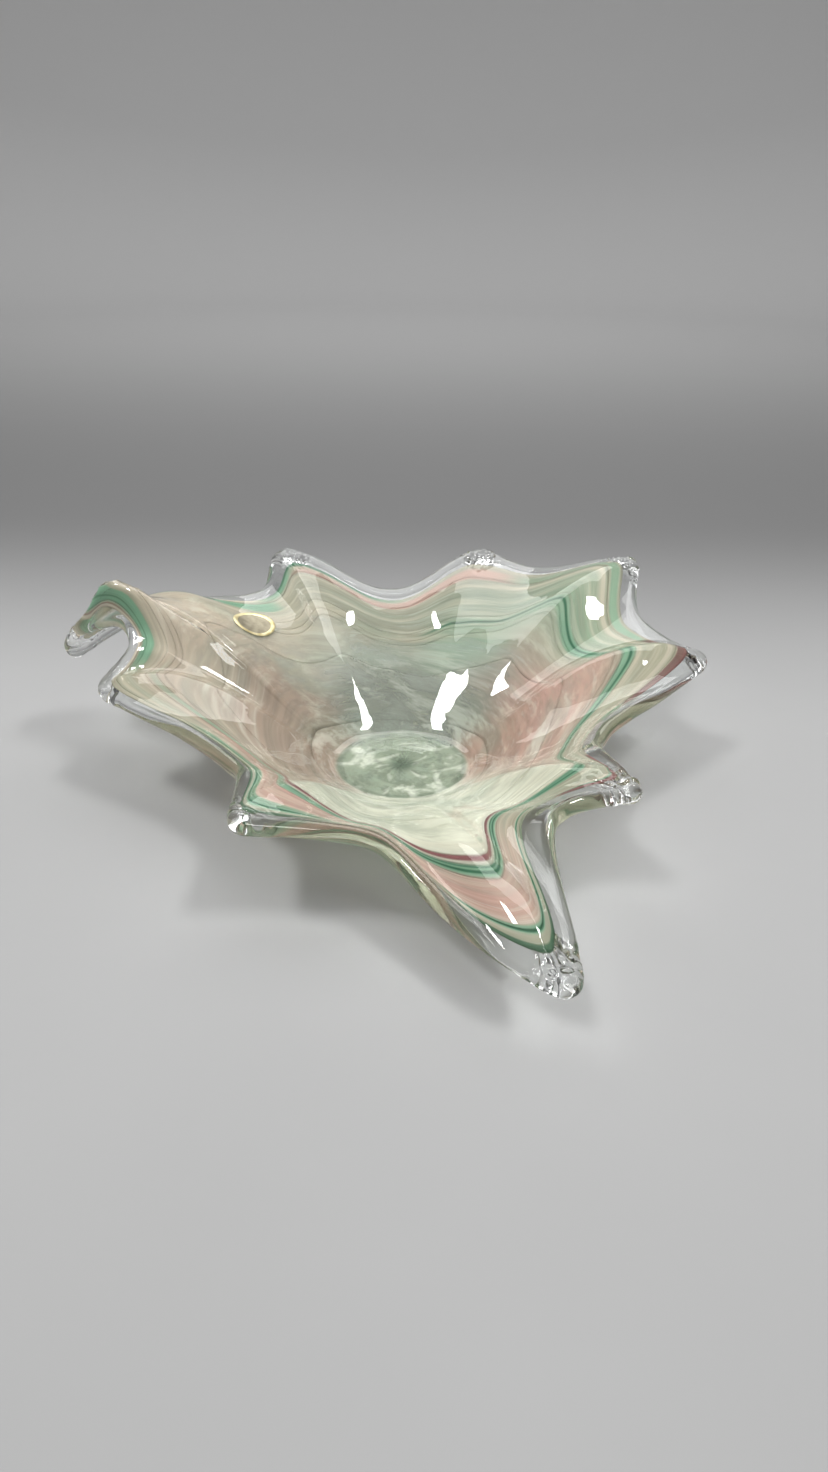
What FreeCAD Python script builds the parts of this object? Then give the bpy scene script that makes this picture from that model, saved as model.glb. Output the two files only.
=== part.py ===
import FreeCAD, Part
import math
import os
from collections import namedtuple

# An art glass bowl: a round floor on a ground foot, and a wall that flares out to a thick clear rim
# pulled into nine points. The glass is cased: a clear lining, a layer of coloured trails, a clear casing.
# Millimetres, +Z up, origin at the middle of the foot's ground face, azimuths in degrees from +X.

# Driving dimensions
FLOOR_RADIUS = 36.0       # where the flat floor turns up into the wall
FLOOR_HEIGHT = 9.0        # inside floor above the surface that the bowl stands on
FLAT_RADIUS = 28.0        # the middle of the floor, dead flat in every layer
WALL_THICKNESS = 5.0
RIM_THICKNESS = 8.0
WELL_EVENNESS = 9         # how closely the even lower wall follows the rim above it
FOOT_RADIUS = 34.0
FOOT_EDGE_ROUND = 1.2

# Layer boundaries through the wall, as shares of its thickness from the inside face
INSIDE_FACE = 0.0
LINING_BACK = 0.20
COLOUR_BACK = 0.48
OUTSIDE_FACE = 1.0

LABEL_LENGTH = 25.0
LABEL_WIDTH = 17.0
LABEL_FACE = -0.04        # the foil's face, a layer boundary standing into the bowl
LABEL_AZIMUTH = 144.7     # where the label's middle is on the inside face
LABEL_RADIUS = 98.5
LABEL_HEIGHT = 61.0
LABEL_LIE = (1.0, 0.48)   # the way its length runs in plan, level to someone looking in over the front

# How finely the surfaces are laid out
COLUMNS_PER_HALF_LOBE = 9
COLUMN_CROWDING = 1.25    # above 1 crowds the columns towards the points
FLOOR_ROWS = 3
WALL_ROWS = 22
BAND_ROWS = 5
LIP_STEPS = 6
DEGREE = 3                # of every spline surface, both ways

# A pulled point: azimuth, reach of the sheet's edge, height, slope there (rise over run), how sharply the
# side before it and the side after it draw in, half width of its blunt end, clear glass beyond the colour
PulledPoint = namedtuple("PulledPoint", "azimuth reach height slope before after blunt clear")
POINTS = [
    PulledPoint(17, 167, 50, -0.6, 2.4, 2.4, 8, 10),
    PulledPoint(44, 182, 77, -0.2, 2.0, 2.0, 7, 11),
    PulledPoint(73, 155, 72, 0.3, 3.2, 3.2, 8, 11),
    PulledPoint(116, 164, 71, 0.3, 3.2, 2.4, 8, 11),
    PulledPoint(161, 194, 42, -1.5, 2.2, 2.2, 11, 8),
    PulledPoint(180, 148, 52, -0.5, 2.6, 2.6, 8, 4),
    PulledPoint(240, 130, 48, -0.3, 2.8, 2.8, 9, 5),
    PulledPoint(289, 197, 27, -0.5, 2.7, 4.5, 25, 13),
    PulledPoint(319, 133, 50, -0.3, 2.6, 2.6, 7, 9),
]

# The valley that follows each point round the rim: azimuth, radius of the sheet's edge, height, slope there,
# clear glass beyond the colour
Valley = namedtuple("Valley", "azimuth radius height slope clear")
VALLEYS = [
    Valley(29, 147, 60, 0.2, 8),
    Valley(60, 148, 69, 0.15, 7),
    Valley(94, 112, 60, 0.25, 8),
    Valley(134, 117, 68, 0.25, 5),
    Valley(173, 135, 67, 0.1, 2),
    Valley(220, 95, 45, 0.6, 2),
    Valley(262, 115, 45, 0.8, 5),
    Valley(305, 117, 47, 0.7, 11),
    Valley(338, 96, 45, 0.8, 4),
]

# How steeply the wall leaves the floor (rise over run): azimuth, slope
WALL_START = [(40, 0.9), (110, 0.9), (180, 0.85), (262, 0.6), (300, 0.6), (345, 0.75)]

# Places where the rim arches up beside the longest drooping point: azimuth, height
ARCHES = [(151, 70), (166, 80)]

# The coloured trails, from the floor out: name and where each one ends, as a share of the colour's rows
TRAILS = [
    ("floor_swirl", 0.14),
    ("lower_white_band", 0.42),
    ("pink_band", 0.62),
    ("cranberry_trail", 0.66),
    ("inner_green_trail", 0.72),
    ("rose_band", 0.95),
    ("edge_green_trail", 1.0),
]

# How far the trails drift out towards the rim as they go round: azimuth, drift
TRAIL_DRIFT = [
    (15, 0.45),
    (45, 0.0),
    (75, -0.3),
    (100, 0.1),
    (170, 0.85),
    (235, 0.4),
    (286, 0.4),
    (306, 0.8),
    (340, 0.75),
]

# Where the pleats have reached their full depth: azimuth, share of the way up the wall
PLEATS_FULL = [(17, 0.85), (44, 0.68), (130, 0.68), (175, 0.95), (240, 0.95), (289, 0.68), (322, 1.0)]

# How far the pleats turn aside by the time they reach the floor: azimuth, turn in degrees
PLEAT_LEAN = [(60, 0), (230, 0), (289, -12), (330, 0)]


def smooth_step(share):
    return share * share * (3 - 2 * share)


def around(knots, azimuth):
    """The value at an azimuth of (azimuth, value) knots that close on themselves, eased between knots."""
    knots = sorted(knots)
    first = knots[0]
    last = knots[-1]
    ring = [(last[0] - 360, last[1])] + knots + [(first[0] + 360, first[1])]
    for start, end in zip(ring, ring[1:]):
        if start[0] <= azimuth <= end[0]:
            share = (azimuth - start[0]) / (end[0] - start[0])
            return start[1] + (end[1] - start[1]) * smooth_step(share)
    return around(knots, azimuth % 360)


RIM_HEIGHTS = [(p.azimuth, p.height) for p in POINTS] + [(v.azimuth, v.height) for v in VALLEYS] + ARCHES


def lobe(away, sharpness, blunt):
    """One half of a pulled point: 1 at its blunt tip (away 0), falling to 0 in the valley (away 1)."""
    gone = math.hypot(away, blunt) - blunt
    whole = math.hypot(1, blunt) - blunt
    return (1 - gone / whole) ** sharpness


class Column:
    """The wall at one azimuth: which point and valley it lies between, and how far from the tip.

    Its width is the turn from the column before it to the column after it, in degrees.
    """

    def __init__(self, point, valley, away):
        gap = (valley.azimuth - point.azimuth + 180) % 360 - 180
        self.azimuth = point.azimuth + gap * away
        self.width = 0.0
        blunt = math.degrees(point.blunt / point.reach) / abs(gap)
        pull = lobe(away, point.after if gap > 0 else point.before, blunt)
        self.run = valley.radius + (point.reach - valley.radius) * pull - FLOOR_RADIUS
        self.rise = around(RIM_HEIGHTS, self.azimuth % 360) - FLOOR_HEIGHT
        self.well_run = self.run
        self.well_rise = self.rise
        self.start_slope = around(WALL_START, self.azimuth % 360)
        self.end_slope = valley.slope + (point.slope - valley.slope) * lobe(away, 2.0, blunt)
        clear = valley.clear + (point.clear - valley.clear) * pull
        self.colour_end = 1 - clear / self.run
        self.drift = around(TRAIL_DRIFT, self.azimuth % 360)
        self.lean = around(PLEAT_LEAN, self.azimuth % 360)
        self.pleats_full = around(PLEATS_FULL, self.azimuth % 360)

    def round_the_well(self, columns):
        """Averages the run and rise with the columns to both sides, for the wall's lower part."""
        weights = [neighbour_weight(self.azimuth - other.azimuth) * other.width for other in columns]
        total = sum(weights)
        self.well_run = sum(weight * other.run for weight, other in zip(weights, columns)) / total
        self.well_rise = sum(weight * other.rise for weight, other in zip(weights, columns)) / total

    def at(self, share):
        """A point of the inside face, at a share of the way from the floor's edge to the sheet's edge.

        The pleats between the points grow from nothing at the floor to their full depth further up.
        """
        pleated = smooth_step(min(1.0, share / self.pleats_full))
        run = self.well_run + (self.run - self.well_run) * pleated
        rise = self.well_rise + (self.rise - self.well_rise) * pleated
        eased = smooth_step(share)
        leaving = share * (1 - share) ** 2
        arriving = share * share * (share - 1)
        slopes = self.start_slope * leaving + self.end_slope * arriving
        height = FLOOR_HEIGHT + rise * eased + run * slopes
        return self.out_to(FLOOR_RADIUS + run * share, height, share)

    def out_to(self, radius, height=FLOOR_HEIGHT, share=0.0):
        turn = math.radians(self.azimuth + self.lean * (1 - share))
        return FreeCAD.Vector(radius * math.cos(turn), radius * math.sin(turn), height)


def neighbour_weight(turn):
    """How much a column at that turn away, in degrees, counts in the wall's lower part."""
    return max(0.0, math.cos(math.radians(turn))) ** WELL_EVENNESS


def make_columns():
    """Columns anticlockwise round the rim, as many on each side of every point."""
    columns = []
    for index, point in enumerate(POINTS):
        before = VALLEYS[index - 1]
        after = VALLEYS[index]
        steps = [(k / COLUMNS_PER_HALF_LOBE) ** COLUMN_CROWDING for k in range(COLUMNS_PER_HALF_LOBE + 1)]
        columns += [Column(point, before, away) for away in reversed(steps[1:])]
        columns += [Column(point, after, away) for away in steps[:-1]]
    for index, column in enumerate(columns):
        after = columns[(index + 1) % len(columns)]
        column.width = (after.azimuth - columns[index - 1].azimuth) % 360
    for column in columns:
        column.round_the_well(columns)
    return columns


COLUMNS = make_columns()


def column_points(column):
    """The inside face up one column: flat floor, wall as far as the colour goes, then the clear band."""
    step = (FLOOR_RADIUS - FLAT_RADIUS) / FLOOR_ROWS
    floor = [column.out_to(FLAT_RADIUS + step * row) for row in range(FLOOR_ROWS)]
    wall = []
    for row in range(WALL_ROWS + 1):
        share = row / WALL_ROWS
        drifted = share + column.drift * share * (1 - share)
        wall.append(column.at(column.colour_end * drifted))
    band = []
    for row in range(1, BAND_ROWS + 1):
        share = row / BAND_ROWS
        band.append(column.at(column.colour_end + (1 - column.colour_end) * share))
    return floor + wall + band


FACE = [column_points(column) for column in COLUMNS]
ROWS = len(FACE[0])
COLOUR_ROWS = ROWS - BAND_ROWS


def face_normal(column, row):
    """The inside face's normal, pointing into the bowl."""
    if row < FLOOR_ROWS - 1:
        return FreeCAD.Vector(0, 0, 1)
    along = FACE[column][min(row + 1, ROWS - 1)] - FACE[column][row - 1]
    across = FACE[(column + 1) % len(FACE)][row] - FACE[column - 1][row]
    return along.cross(across).normalize()


NORMALS = [[face_normal(column, row) for row in range(ROWS)] for column in range(len(FACE))]


def thickness(row):
    """The wall thickens towards the rim over its upper half."""
    share = max(0.0, 2 * row / (ROWS - 1) - 1)
    return WALL_THICKNESS + (RIM_THICKNESS - WALL_THICKNESS) * smooth_step(share)


def through(column, row, depth):
    """A point of the glass at a depth below the inside face, as a share of the wall's thickness."""
    return FACE[column][row] - NORMALS[column][row] * (thickness(row) * depth)


def lip_point(column, angle):
    """A point of the half-round lip, from +90 degrees on the inside face to -90 on the outside face."""
    row = ROWS - 1
    normal = NORMALS[column][row]
    around_rim = FACE[(column + 1) % len(FACE)][row] - FACE[column - 1][row]
    outward = around_rim.cross(normal).normalize()
    middle = through(column, row, 0.5)
    radius = thickness(row) / 2
    return middle + outward * (radius * math.cos(angle)) + normal * (radius * math.sin(angle))


def spline_surface(grid):
    """A smooth surface shaped by a grid of points: closed round the bowl, open from floor to rim."""
    surface = Part.BSplineSurface()
    rows = len(grid[0])
    spans = rows - DEGREE
    around_knots = [float(k) for k in range(len(grid) + 1)]
    up_knots = [float(k) for k in range(spans + 1)]
    up_counts = [DEGREE + 1] + [1] * (spans - 1) + [DEGREE + 1]
    surface.buildFromPolesMultsKnots(
        grid, [1] * len(around_knots), up_counts, around_knots, up_knots, True, False, DEGREE, DEGREE
    )
    return surface


def layer_surface(depth, rows=COLOUR_ROWS):
    """A layer boundary at one depth, from the edge of its floor disc to the end of the colour."""
    columns = range(len(FACE))
    return spline_surface([[through(column, row, depth) for row in range(rows)] for column in columns])


BOUNDARIES = (LABEL_FACE, INSIDE_FACE, LINING_BACK, COLOUR_BACK, OUTSIDE_FACE)
LAYER = {depth: layer_surface(depth) for depth in BOUNDARIES}
LAYER_END = float(COLOUR_ROWS - DEGREE)


def ring_face(depth, start, end):
    """The part of a layer boundary between two heights up the rows."""
    return LAYER[depth].toShape(0.0, float(len(FACE)), start, end)


def ring_edge(depth, at):
    return LAYER[depth].vIso(at).toShape()


def floor_disc(depth):
    return Part.Face(Part.Wire(ring_edge(depth, 0.0)))


def ring_wall(front, back, at):
    """The cut through the glass from one layer boundary to another, right round the bowl."""
    return Part.makeRuledSurface(ring_edge(front, at), ring_edge(back, at))


def solid_from(faces):
    shell = Part.makeShell(faces)
    shell.sewShape()
    solid = Part.makeSolid(shell)
    if solid.Volume < 0:
        solid.reverse()
    return solid


def layer_piece(front, back, start, end):
    """Glass between two layer boundaries. It runs right across the floor when it starts at row 0."""
    faces = [ring_face(front, start, end), ring_face(back, start, end), ring_wall(front, back, end)]
    if start == 0:
        faces += [floor_disc(front), floor_disc(back)]
    else:
        faces.append(ring_wall(front, back, start))
    return solid_from(faces)


def rim_band():
    """The clear rim beyond the colour: inside face, half-round lip and outside face in one skin."""
    grid = []
    band_rows = list(range(COLOUR_ROWS - 1, ROWS))
    angles = [math.pi / 2 - math.pi * k / LIP_STEPS for k in range(1, LIP_STEPS)]
    for column in range(len(FACE)):
        inside = [through(column, row, INSIDE_FACE) for row in band_rows]
        lip = [lip_point(column, angle) for angle in angles]
        outside = [through(column, row, OUTSIDE_FACE) for row in reversed(band_rows)]
        grid.append(inside + lip + outside)
    cuts = [
        ring_wall(INSIDE_FACE, LINING_BACK, LAYER_END),
        ring_wall(LINING_BACK, COLOUR_BACK, LAYER_END),
        ring_wall(COLOUR_BACK, OUTSIDE_FACE, LAYER_END),
    ]
    return solid_from([spline_surface(grid).toShape()] + cuts)


def foot():
    """The ground foot disc, flat above and below, with its lower edge rounded."""
    height = FLOOR_HEIGHT - WALL_THICKNESS
    disc = Part.makeCylinder(FOOT_RADIUS, height)
    rounded = [edge for edge in disc.Edges if edge.BoundBox.ZMax < 0.01]
    return disc.makeFillet(FOOT_EDGE_ROUND, rounded)


def foil_label():
    """The oval label: a thin skin on the inside face, cut out by an oval punch square to the wall."""
    turn = math.radians(LABEL_AZIMUTH)
    near = FreeCAD.Vector(LABEL_RADIUS * math.cos(turn), LABEL_RADIUS * math.sin(turn), LABEL_HEIGHT)
    surface = LAYER[INSIDE_FACE]
    place = surface.parameter(near)
    middle = surface.value(*place)
    normal = surface.normal(*place)
    if normal.z < 0:
        normal = -normal
    lie = FreeCAD.Vector(*LABEL_LIE, 0)
    level = (lie - normal * lie.dot(normal)).normalize()
    oval = Part.Ellipse(FreeCAD.Vector(0, 0, 0), LABEL_LENGTH / 2, LABEL_WIDTH / 2)
    punch = Part.Face(Part.Wire(oval.toShape())).extrude(FreeCAD.Vector(0, 0, LABEL_LENGTH))
    turned = FreeCAD.Rotation(level, normal.cross(level), normal, "ZXY")
    punch.Placement = FreeCAD.Placement(middle - normal * (LABEL_LENGTH / 2), turned)
    return layer_piece(LABEL_FACE, INSIDE_FACE, 0.0, LAYER_END).common(punch).Solids[0]


def trails():
    """Each coloured trail fills its own ring of the colour layer, edge to edge with its neighbours."""
    pieces = {}
    start = 0.0
    for name, share in TRAILS:
        end = LAYER_END * share
        pieces[name] = layer_piece(LINING_BACK, COLOUR_BACK, start, end)
        start = end
    return pieces


def main():
    os.makedirs("parts", exist_ok=True)
    pieces = {
        "inner_lining": layer_piece(INSIDE_FACE, LINING_BACK, 0.0, LAYER_END),
        "outer_casing": layer_piece(COLOUR_BACK, OUTSIDE_FACE, 0.0, LAYER_END),
        "rim_band": rim_band(),
        "foot": foot(),
        "foil_label": foil_label(),
    }
    pieces.update(trails())
    for name, shape in pieces.items():
        print(f"{name}: {shape.Volume / 1000:.2f} cm3, valid {shape.isValid()}")
        shape.exportStep(f"parts/{name}.step")


main()
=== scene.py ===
import math
from collections import defaultdict, namedtuple

import bmesh
import bpy
import numpy as np
from mathutils import Matrix, Vector, noise
from mathutils.bvhtree import BVHTree


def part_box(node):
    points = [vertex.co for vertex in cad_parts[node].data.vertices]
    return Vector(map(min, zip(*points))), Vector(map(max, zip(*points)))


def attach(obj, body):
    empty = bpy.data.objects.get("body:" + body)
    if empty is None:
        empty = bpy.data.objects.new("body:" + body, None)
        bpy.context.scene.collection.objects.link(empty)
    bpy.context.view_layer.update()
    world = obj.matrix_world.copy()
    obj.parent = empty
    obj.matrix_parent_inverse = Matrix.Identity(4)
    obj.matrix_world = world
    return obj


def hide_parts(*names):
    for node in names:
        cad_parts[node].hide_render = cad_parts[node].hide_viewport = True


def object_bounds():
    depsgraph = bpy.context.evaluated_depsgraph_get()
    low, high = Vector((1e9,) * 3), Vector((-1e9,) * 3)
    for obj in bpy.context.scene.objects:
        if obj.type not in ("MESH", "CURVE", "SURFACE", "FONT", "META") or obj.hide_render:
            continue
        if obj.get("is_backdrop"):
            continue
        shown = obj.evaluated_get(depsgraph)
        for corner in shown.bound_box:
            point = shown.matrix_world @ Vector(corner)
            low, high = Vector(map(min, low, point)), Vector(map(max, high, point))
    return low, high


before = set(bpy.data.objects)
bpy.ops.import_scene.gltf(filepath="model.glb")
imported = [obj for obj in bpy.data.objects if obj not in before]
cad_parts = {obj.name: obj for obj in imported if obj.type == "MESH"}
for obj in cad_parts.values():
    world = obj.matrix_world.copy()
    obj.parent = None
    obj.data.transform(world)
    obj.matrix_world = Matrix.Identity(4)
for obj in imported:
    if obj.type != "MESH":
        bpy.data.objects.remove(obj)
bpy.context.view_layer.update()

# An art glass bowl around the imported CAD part. Every shape is measured from the CAD meshes: the borders
# between the coloured trails give the wall's middle surface, and the rim band's outline gives the lip.
# Clear glass is one closed skin round the coloured layer, because the real gathers are fused.
# Metres, +Z up. "Turn" is the azimuth in radians, and "share" runs from 0 at the bowl's middle to 1 at the
# colour's outer border.

MM = 0.001
FULL_TURN = 2 * math.pi

# Trails from the floor out, and the share of the colour's width where each one ends
TRAIL_ENDS = {
    "floor_swirl": 0.14,
    "lower_white_band": 0.42,
    "pink_band": 0.62,
    "cranberry_trail": 0.66,
    "inner_green_trail": 0.72,
    "rose_band": 0.95,
    "edge_green_trail": 1.0,
}

BORDER_SHARES = [0.0] + list(TRAIL_ENDS.values())
TRAIL_SPANS = list(zip(TRAIL_ENDS, BORDER_SHARES, BORDER_SHARES[1:]))

# How the CAD meshes are read
WELD = 0.001 * MM
FAR = 1.0                     # well outside the bowl, to look in from
SHARP_ANGLE = math.radians(40)
LEAST_RING = 100              # a sharp ring with fewer points is a sliver, not a border
OUTLINE_PLANES = 2880         # planes through the axis that the outline in plan is read on
LIP_SMOOTHING = 5             # planes each side over which the measured lip is evened out
TIP_WINDOW = 48               # planes each side over which a tip's lip is the furthest out

# The glass skin's grid
COLUMNS = 860
TIP_CROWDING = 3.4            # how many times closer the columns stand near a tip
TIP_REACH = 18 * MM           # how far from a tip that fades, and the extra thickness too
FLOOR_STEPS = (0.15, 0.35, 0.55, 0.72, 0.86)
INSIDE_ROWS = 54
OUTSIDE_ROWS = 40
ROW_CROWDING = 0.78           # above 0 crowds the rows towards the floor's edge and the lip
LIP_ROWS = 10
WALL_KNOTS = ("floor_swirl", "lower_white_band", "cranberry_trail", "rose_band")

# Marks of the making
PINCER_PITCH = 3.9 * MM
PINCER_DEPTH = 1.5 * MM
PINCER_SLIP = 1.6 * MM        # how far the teeth dragged aside in the soft glass
PINCER_REACH = 12 * MM        # radius of the marked patch
PINCER_HOLD = 8 * MM          # from the tip's lip in to the middle of the patch
SLIP_SEED = 1                 # without one, Blender seeds noise_vector from the clock
RIPPLED_TIPS = (17, 161, 180, 240)   # turns in degrees of the tips pulled with plain pincers
RIPPLE_BASE = 0.6             # share of its height that a ripple's hollow keeps, a tooth's keeping none
TIP_MATCH = 6                 # degrees within which a measured tip is the one that is meant
TIP_SWELL = 0.34              # how much thicker the glass is at a pulled tip
WAVE_LENGTH = 34 * MM         # slow unevenness of blown glass
WAVE_HEIGHT = 0.22 * MM
FINER_WAVES = 2.3             # how many times shorter the finer waves are
FINER_HEIGHT = 0.4            # and their height as a share of the slow ones'
INSIDE_SEED = 3.0             # where in the noise each face's waves are taken from
OUTSIDE_SEED = 11.0

# The coloured sheets inside the glass
SHEET_COLUMNS = 540
SHEET_ROW_STEP = 0.0125       # share of the colour's width between two rows of a sheet
SHEET_START = 0.01            # share of its first row round the pole of the floor's sheet
SHEET_MARGIN = 0.03           # clear glass over and under a sheet, as a share of the wall's thickness
SHEET_GAP = 0.03 * MM         # clear glass between two trails

# The way the colour was wound
TWIST = 2.4                   # how far the wisps wind round on their way in to the middle, in radians
FRONT_SHARES = (0.25, 0.60)   # where streaks stop following plain rings and start following the pleats
BACK_SHARES = (0.45, 1.00)    # the same at the back of the bowl
BACK_TURN = math.radians(105)
MEAN_REACH = 0.16             # a ring this far out counts as the colour's outer border in the well


# Reading the CAD meshes

def heights_on_axis(name):
    """The lowest and highest height of a CAD node on the bowl's axis."""
    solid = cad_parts[name]
    top = solid.ray_cast((0, 0, FAR), (0, 0, -1))[1].z
    bottom = solid.ray_cast((0, 0, -FAR), (0, 0, 1))[1].z
    return bottom, top


def sharp_rings(name):
    """The rings of points along the sharp edges of a CAD node, innermost first."""
    mesh = bmesh.new()
    mesh.from_mesh(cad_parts[name].data)
    bmesh.ops.remove_doubles(mesh, verts=mesh.verts, dist=WELD)
    linked = defaultdict(list)
    for edge in mesh.edges:
        if edge.calc_face_angle(0.0) > SHARP_ANGLE:
            first, second = edge.verts
            linked[first].append(second)
            linked[second].append(first)
    rings = []
    reached = set()
    for start in linked:
        if start in reached:
            continue
        ring = [start]
        reached.add(start)
        for vertex in ring:
            fresh = [other for other in linked[vertex] if other not in reached]
            reached.update(fresh)
            ring.extend(fresh)
        if len(ring) >= LEAST_RING:
            rings.append(np.array([tuple(vertex.co) for vertex in ring]))
    mesh.free()
    return sorted(rings, key=lambda ring: np.hypot(ring[:, 0], ring[:, 1]).mean())


def in_space(turns, radii, heights):
    """Points from their turns, radii and heights."""
    return np.stack(np.broadcast_arrays(radii * np.cos(turns), radii * np.sin(turns), heights), axis=-1)


def in_turns(points):
    """Turn, radius and height of points, sorted by turn, without points that stand nearly in one place."""
    turns = np.arctan2(points[:, 1], points[:, 0]) % FULL_TURN
    order = np.argsort(turns)
    kept = [order[0]]
    for index in order[1:]:
        if turns[index] - turns[kept[-1]] > FULL_TURN / OUTLINE_PLANES:
            kept.append(index)
    radii = np.hypot(points[kept, 0], points[kept, 1])
    return turns[kept], radii, points[kept, 2]


def smooth_step(share):
    """A share from 0 to 1, eased at both ends."""
    return share * share * (3 - 2 * share)


def curve_across(share, gap, values, slopes):
    """A cubic curve across a gap, from the first value to the second, with those slopes at its ends."""
    leaving = share * (1 - share) ** 2 * gap
    arriving = share * share * (share - 1) * gap
    rise = values[0] + (values[1] - values[0]) * smooth_step(share)
    return rise + slopes[0] * leaving + slopes[1] * arriving


def smooth_around(turns, values, wanted):
    """Values at the wanted turns, on a smooth closed curve through (turn, value) points."""
    turns = np.concatenate([turns[-2:] - FULL_TURN, turns, turns[:2] + FULL_TURN])
    values = np.concatenate([values[-2:], values, values[:2]])
    gaps = np.diff(turns)
    rises = np.diff(values) / gaps
    slopes = (rises[:-1] * gaps[1:] + rises[1:] * gaps[:-1]) / (gaps[:-1] + gaps[1:])
    slopes = np.concatenate([rises[:1], slopes, rises[-1:]])
    index = np.clip(np.searchsorted(turns, wanted) - 1, 0, len(gaps) - 1)
    gap = gaps[index]
    share = (wanted - turns[index]) / gap
    return curve_across(share, gap, (values[index], values[index + 1]), (slopes[index], slopes[index + 1]))


def ring_at(ring, turns):
    """A measured ring's radii and heights at the wanted turns."""
    return smooth_around(ring[0], ring[1], turns), smooth_around(ring[0], ring[2], turns)


def plan_outline(name):
    """The outermost radius of a CAD node at evenly spaced turns, and the height there."""
    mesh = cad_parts[name].data
    points = np.array([tuple(vertex.co) for vertex in mesh.vertices])
    turns = np.arctan2(points[:, 1], points[:, 0]) % FULL_TURN
    radii = np.hypot(points[:, 0], points[:, 1])
    step = FULL_TURN / OUTLINE_PLANES
    best = np.zeros(OUTLINE_PLANES)
    heights = np.zeros(OUTLINE_PLANES)
    for edge in mesh.edges:
        first, second = sorted(edge.vertices, key=lambda vertex: turns[vertex])
        start = turns[first]
        gap = turns[second] - start
        if gap > math.pi:
            first, second = second, first
            start = turns[first]
            gap = FULL_TURN - gap
        if gap == 0:
            continue
        for plane in range(math.ceil(start / step), math.floor((start + gap) / step) + 1):
            share = (plane * step - start) / gap
            radius = radii[first] + (radii[second] - radii[first]) * share
            place = plane % OUTLINE_PLANES
            if radius > best[place]:
                best[place] = radius
                heights[place] = points[first, 2] + (points[second, 2] - points[first, 2]) * share
    return np.arange(OUTLINE_PLANES) * step, best, heights


def evened(values, width):
    """Values round a closed ring, each averaged with its neighbours by a bell of that width."""
    bell = np.exp(-0.5 * (np.arange(-3 * width, 3 * width + 1) / width) ** 2)
    bell /= bell.sum()
    padded = np.concatenate([values[-3 * width:], values, values[:3 * width]])
    return np.convolve(padded, bell, mode="valid")


LINING_BOTTOM, FLOOR_TOP = heights_on_axis("inner_lining")
CASING_BOTTOM, CASING_TOP = heights_on_axis("outer_casing")
FLOOR_THICKNESS = FLOOR_TOP - CASING_BOTTOM
COLOUR_FRONT = (FLOOR_TOP - LINING_BOTTOM) / FLOOR_THICKNESS
COLOUR_BACK = (FLOOR_TOP - CASING_TOP) / FLOOR_THICKNESS
FOOT_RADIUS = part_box("foot")[1].x
MIDDLE = 0.5                  # depth of the wall's middle surface
FLOOR_MIDDLE = FLOOR_TOP - FLOOR_THICKNESS * MIDDLE
FLOOR_EDGE = 0.96 * FOOT_RADIUS      # where the flat floor turns up into the wall


def trail_border(name):
    """Where a trail ends, on the middle surface of the wall: turn, radius, height, wall thickness."""
    front, back = sorted(sharp_rings(name)[-2:], key=lambda ring: -ring[:, 2].mean())
    fine = np.linspace(0, FULL_TURN, 4 * OUTLINE_PLANES, endpoint=False)
    behind = in_space(fine, *ring_at(in_turns(back), fine))
    gaps = front[:, None, :] - behind[None, :, :]
    nearest = (gaps ** 2).sum(axis=2).argmin(axis=1)
    through = behind[nearest] - front
    depth = np.linalg.norm(through, axis=1).mean() / (COLOUR_BACK - COLOUR_FRONT)
    middle = front + through * ((MIDDLE - COLOUR_FRONT) / (COLOUR_BACK - COLOUR_FRONT))
    return in_turns(middle), depth


BORDERS = {name: trail_border(name) for name in TRAIL_ENDS}
EDGE_THICKNESS = BORDERS["edge_green_trail"][1]
LIP_RADIUS = 0.55 * EDGE_THICKNESS   # the lip is a little thicker than the wall where the colour ends


def lip_curve():
    """The middle of the half-round lip: turn, radius and height, from the rim band's outline in plan."""
    turns, radii, heights = plan_outline("rim_band")
    plan = evened(radii * np.cos(turns), LIP_SMOOTHING) + 1j * evened(radii * np.sin(turns), LIP_SMOOTHING)
    along = np.roll(plan, -1) - np.roll(plan, 1)
    inward = 1j * along / abs(along)
    middle = plan + inward * LIP_RADIUS
    points = np.stack([middle.real, middle.imag, evened(heights, 3 * LIP_SMOOTHING)], axis=1)
    return in_turns(points)


LIP = lip_curve()


def find_tips():
    """The turns of the pulled tips: where the lip stands out further than anywhere near it."""
    turns = np.arange(OUTLINE_PLANES) * FULL_TURN / OUTLINE_PLANES
    radii, _ = ring_at(LIP, turns)
    around = np.stack([np.roll(radii, shift) for shift in range(-TIP_WINDOW, TIP_WINDOW + 1)])
    return turns[radii >= around.max(axis=0)]


TIPS = find_tips()


def on_lip(turns):
    """Points on the lip at those turns."""
    return in_space(turns, *ring_at(LIP, turns))


TIP_POINTS = on_lip(TIPS)


def make_turns(count):
    """Turns for a grid's columns, evenly spread along the lip and crowded near the tips."""
    fine = np.linspace(0, FULL_TURN, 4 * OUTLINE_PLANES + 1)
    points = on_lip(fine % FULL_TURN)
    steps = np.linalg.norm(np.diff(points, axis=0), axis=1)
    away = np.linalg.norm(points[:-1, None, :] - TIP_POINTS[None], axis=2).min(axis=1)
    crowding = 1 + (TIP_CROWDING - 1) * np.exp(-(away / TIP_REACH) ** 2)
    reached = np.concatenate([[0], np.cumsum(steps * crowding)])
    return np.interp(np.arange(count) / count * reached[-1], reached, fine)


# The wall's middle surface

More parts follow.
